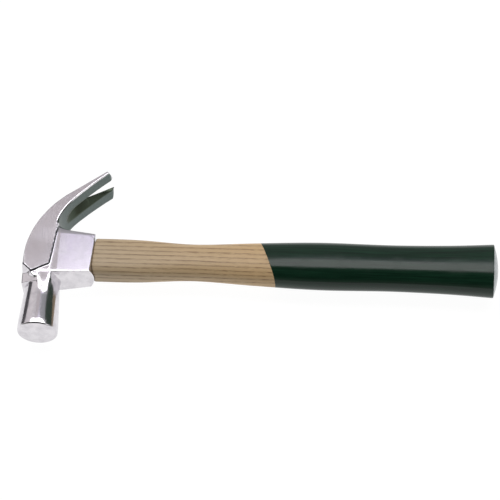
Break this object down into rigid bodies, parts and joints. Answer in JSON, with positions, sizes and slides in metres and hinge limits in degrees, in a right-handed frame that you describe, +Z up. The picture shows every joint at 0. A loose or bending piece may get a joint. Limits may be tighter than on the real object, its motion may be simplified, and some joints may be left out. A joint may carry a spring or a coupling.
{
  "type": "claw hammer",
  "caption": "Curved-claw carpentry and formwork hammer: polished forged head with a socketed eye, wedged on an oval hickory handle with a dark green lacquered grip.",
  "frame": {"origin": "centre of the bounding box at its bottom: the hammer lies on its side on the lower cheek", "axes": "+X along the handle from the head to the butt, +Y from the striking face to the claw, +Z up, square to the cheeks"},
  "size_m": [0.3246, 0.1254, 0.033],
  "materials": {
    "polished_steel": "forged, ground and polished bright",
    "hickory": "clear-varnished straight-grained hickory",
    "wedge_timber": "bare hardwood",
    "wedge_steel": "plain mild steel",
    "green_lacquer": "glossy dark green dipped lacquer"
  },
  "bodies": {
    "root": {"hammer_head": "polished_steel", "handle": "hickory", "timber_wedge": "wedge_timber", "steel_wedge_1": "wedge_steel", "steel_wedge_2": "wedge_steel", "grip_lacquer": "green_lacquer"}
  },
  "joints": []
}
